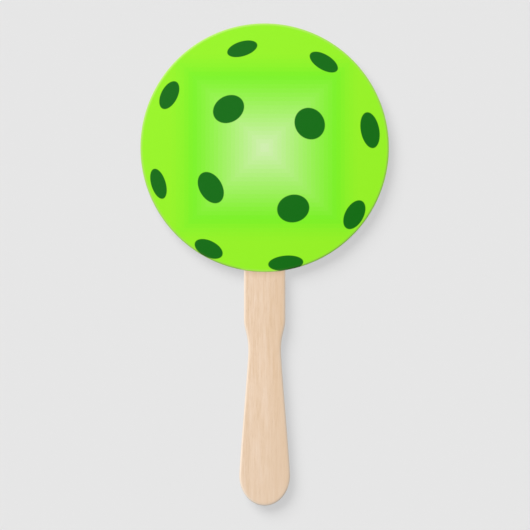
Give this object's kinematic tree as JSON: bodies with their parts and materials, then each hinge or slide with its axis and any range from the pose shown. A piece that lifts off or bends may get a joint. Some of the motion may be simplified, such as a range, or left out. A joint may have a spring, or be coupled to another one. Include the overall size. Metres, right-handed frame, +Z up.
{
  "type": "hand fan",
  "caption": "Flat round paddle hand fan: a printed card head bonded over a spacer board, on one flat waisted wooden stick handle.",
  "frame": {"origin": "middle of the stick's lower end, half way through its thickness", "axes": "+Z up along the stick towards the head, +X to the right as seen from the front, the front card faces -Y"},
  "size_m": [0.2, 0.003, 0.388],
  "materials": {
    "front_print": "satin",
    "back_print": "satin",
    "adhesive": "satin",
    "white_board": "matte",
    "birch": "satin"
  },
  "bodies": {
    "root": {"front_card": "front_print", "front_adhesive_sheet": "adhesive", "core_board": "white_board", "handle": "birch", "back_adhesive_sheet": "adhesive", "back_card": "back_print"}
  },
  "joints": []
}
